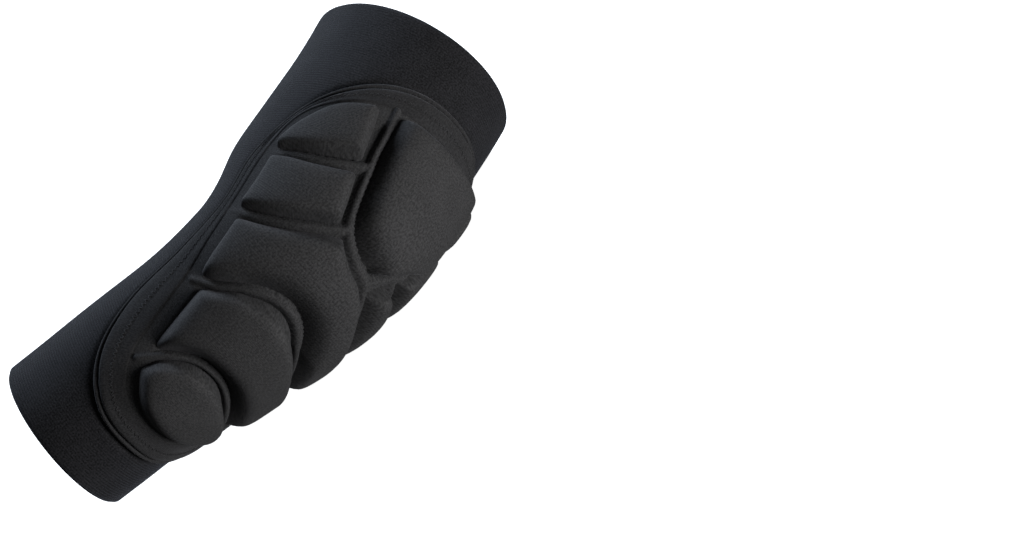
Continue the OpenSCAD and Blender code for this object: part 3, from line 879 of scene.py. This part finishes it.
def thread_run(name, ends, radius, material, nodes):
    """One mesh of separate stitches, each a short rounded bar between two points."""
    sides = 6
    # Rings of one stitch: place along it and share of its radius
    rings = [(-0.5, 0.35), (-0.42, 0.85), (-0.2, 1.0), (0.2, 1.0), (0.42, 0.85), (0.5, 0.35)]
    verts, faces, uvs = [], [], []
    for p, q, up in ends:
        p, q, up = Vector(p), Vector(q), Vector(up).normalized()
        run = q - p
        side = run.cross(up).normalized()
        base = len(verts)
        for t, share in rings:
            middle = (p + q) / 2 + run * t - up * radius * 0.9 * (abs(t) * 2) ** 2
            for k in range(sides):
                turn = 2 * math.pi * k / sides
                spot = side * math.cos(turn) + up * math.sin(turn)
                verts.append(middle + spot * radius * share)
        for r in range(len(rings) - 1):
            for k in range(sides):
                one, two = base + r * sides + k, base + r * sides + (k + 1) % sides
                faces.append((one, two, two + sides, one + sides))
        faces.append(tuple(range(base + sides - 1, base - 1, -1)))
        top = base + (len(rings) - 1) * sides
        faces.append(tuple(range(top, top + sides)))
    mesh = bpy.data.meshes.new(name)
    mesh.from_pydata([tuple(v) for v in verts], [], faces)
    layer = mesh.uv_layers.new(name="weave")
    for loop in mesh.loops:
        co = mesh.vertices[loop.vertex_index].co
        layer.data[loop.index].uv = (co.x / MM, (co.y + co.z) / MM)
    piece = finished(name, mesh)
    dress(piece, material, "thread", *nodes)
    return piece


def border_stitches():
    """Zigzag row that sews the band down."""
    u, run = ring_frame()
    count = int(run[-1] / STITCH_PITCH)
    at = np.interp(np.linspace(0, run[-1], 2 * count + 1), run, u)
    zig = 0.42 + 0.14 * (np.arange(2 * count + 1) % 2)
    spots = (1 - zig)[:, None] * around(OUTER_RING, at) + zig[:, None] * around(INNER_RING, at)
    low = place(spots[:, 0], spots[:, 1], STITCH_H)
    high = place(spots[:, 0], spots[:, 1], STITCH_H + 1)
    ends = [(low[k], low[k + 1], high[k] - low[k]) for k in range(2 * count)]
    nodes = ["stitches_upper", "stitches_elbow", "stitches_forearm"]
    return crosses_elbow(thread_run("border_stitches", ends, STITCH_R, thread, nodes))


# ---------------------------------------------------------------- camera, light, floor
CAMERA_AT = Vector((-0.1376, -1.0045, 0.6273))
CAMERA_AZIMUTH, CAMERA_ELEVATION, CAMERA_ROLL = -12.52, 33.52, 41.5
LENS = 85


def camera_axes():
    """The camera's right, up and backward directions."""
    az, el, roll = (math.radians(x) for x in (CAMERA_AZIMUTH, CAMERA_ELEVATION, CAMERA_ROLL))
    back = Vector((math.sin(az) * math.cos(el), -math.cos(az) * math.cos(el), math.sin(el)))
    level = Vector((math.cos(az), math.sin(az), 0))
    rise = back.cross(level)
    right = level * math.cos(roll) - rise * math.sin(roll)
    return right, back.cross(right), back


RIGHT, UP, BACK = camera_axes()


def make_camera():
    data = bpy.data.cameras.new("camera")
    data.lens = LENS
    data.sensor_width = 36
    data.clip_start, data.clip_end = 0.05, 50
    obj = bpy.data.objects.new("camera", data)
    scene.collection.objects.link(obj)
    turn = Matrix((RIGHT, UP, BACK)).transposed()
    obj.matrix_world = Matrix.Translation(CAMERA_AT) @ turn.to_4x4()
    scene.camera = obj


def area_light(name, way, distance, size, watts, colour):
    """Soft light aimed at the object from a direction given in the camera's right, up and back."""
    data = bpy.data.lights.new(name, "AREA")
    data.shape = "SQUARE"
    data.size = size
    data.energy = watts
    data.color = colour
    obj = bpy.data.objects.new(name, data)
    scene.collection.objects.link(obj)
    to_light = (RIGHT * way[0] + UP * way[1] + BACK * way[2]).normalized()
    middle = (cad_box[0] + cad_box[1]) / 2
    turn = to_light.to_track_quat("Z", "Y").to_matrix().to_4x4()
    obj.matrix_world = Matrix.Translation(middle + to_light * distance) @ turn


def studio():
    area_light("key", (0.8, -0.14, 0.58), 1.4, 0.6, 20, (1, 0.99, 0.98))
    area_light("upper_left", (-0.54, 0.81, -0.17), 1.4, 0.8, 22, (0.78, 0.87, 1))
    area_light("behind", (-0.6, 0.45, -0.66), 1.6, 0.9, 4, (0.85, 0.92, 1))
    world = bpy.data.worlds.new("studio")
    world.use_nodes = True
    background = world.node_tree.nodes["Background"]
    background.inputs[0].default_value = (1, 1, 1, 1)
    background.inputs[1].default_value = 0.04
    scene.world = world
    scene.view_settings.view_transform = "Standard"


def floor():
    """Plain white floor. It casts no shadow and throws no light on the object."""
    lowest = min(0.0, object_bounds()[0].z)
    mesh = bpy.data.meshes.new("floor")
    reach = 6.0
    corners = [(x * reach, y * reach, lowest) for x, y in ((-1, -1), (1, -1), (1, 1), (-1, 1))]
    mesh.from_pydata(corners, [], [(0, 1, 2, 3)])
    obj = bpy.data.objects.new("floor", mesh)
    scene.collection.objects.link(obj)
    material, tree, bsdf = shader("pale_floor", **{"Roughness": 0.9, "Specular IOR Level": 0.1})
    bsdf.inputs["Base Color"].default_value = (0.85, 0.85, 0.85, 1)
    bsdf.inputs["Emission Color"].default_value = (1, 1, 1, 1)
    bsdf.inputs["Emission Strength"].default_value = 1.0
    obj.data.materials.append(material)
    obj.visible_diffuse = False
    obj.visible_glossy = False
    obj.visible_shadow = False
    obj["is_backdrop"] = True


make_camera()
tube = sleeve()
hems = [hem("upper_hem_fold", UPPER_LENGTH, -1, "upper_arm", "upper_hem"),
        hem("forearm_hem_fold", -FOREARM_LENGTH, 1, "forearm", "forearm_hem")]
backing()
for block in BLOCKS:
    foam_block(block)
lifts = puffed()
for block in BLOCKS:
    block_face(block, lifts)
border_band()
edge_piping()
border_stitches()
studio()
floor()
